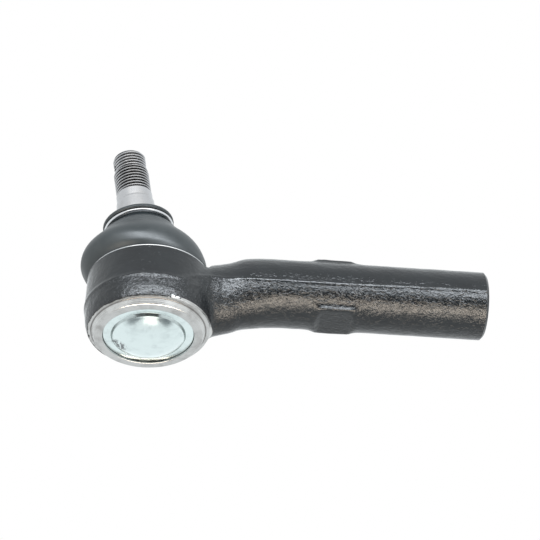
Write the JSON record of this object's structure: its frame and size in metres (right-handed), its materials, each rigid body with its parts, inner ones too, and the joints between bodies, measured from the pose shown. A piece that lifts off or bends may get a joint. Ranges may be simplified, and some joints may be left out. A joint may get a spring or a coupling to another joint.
{
  "type": "tie rod end",
  "caption": "Ball joint in a round forged housing with a tapered, threaded stud under a rubber boot and a long arm that ends in an internally threaded sleeve.",
  "frame": {"origin": "centre of the ball, on the socket's axis", "axes": "+Z along the socket's axis towards the stud, +X along the arm to the threaded sleeve's mouth"},
  "size_m": [0.1601, 0.0498, 0.0937],
  "materials": {
    "black_forging": "satin",
    "bright_steel": "satin",
    "bearing_plastic": "matte",
    "plain_steel": "satin",
    "zinc_plate": "zinc plated, satin",
    "seal_rubber": "matte",
    "bright_ring": "bright",
    "boot_rubber": "matte"
  },
  "bodies": {
    "socket": {"housing": "black_forging", "upper_ball_seat": "bearing_plastic", "lower_ball_seat": "bearing_plastic", "pressure_plate": "plain_steel", "preload_spring": "plain_steel", "cover_plate": "zinc_plate", "cover_seal": "seal_rubber", "boot_retaining_ring": "bright_ring"},
    "boot": {"dust_boot": "boot_rubber"},
    "boot_collar": {"boot_clamp_ring": "bright_ring"},
    "stud": {"ball_stud": "bright_steel"}
  },
  "joints": [
    {"name": "swing_direction", "type": "hinge", "parent": "socket", "child": "boot", "pos_m": [0, 0, 0], "axis": [0, 0, 1], "continuous": true},
    {"name": "stud_tilt", "type": "hinge", "parent": "boot", "child": "boot_collar", "pos_m": [0, 0, 0], "axis": [0, -1, 0], "range_deg": [-27.2, 12.8], "deforming": ["dust_boot"]},
    {"name": "stud_spin", "type": "hinge", "parent": "boot_collar", "child": "stud", "pos_m": [0, 0, 0], "axis": [-0.1253, 0, 0.9921], "continuous": true}
  ]
}
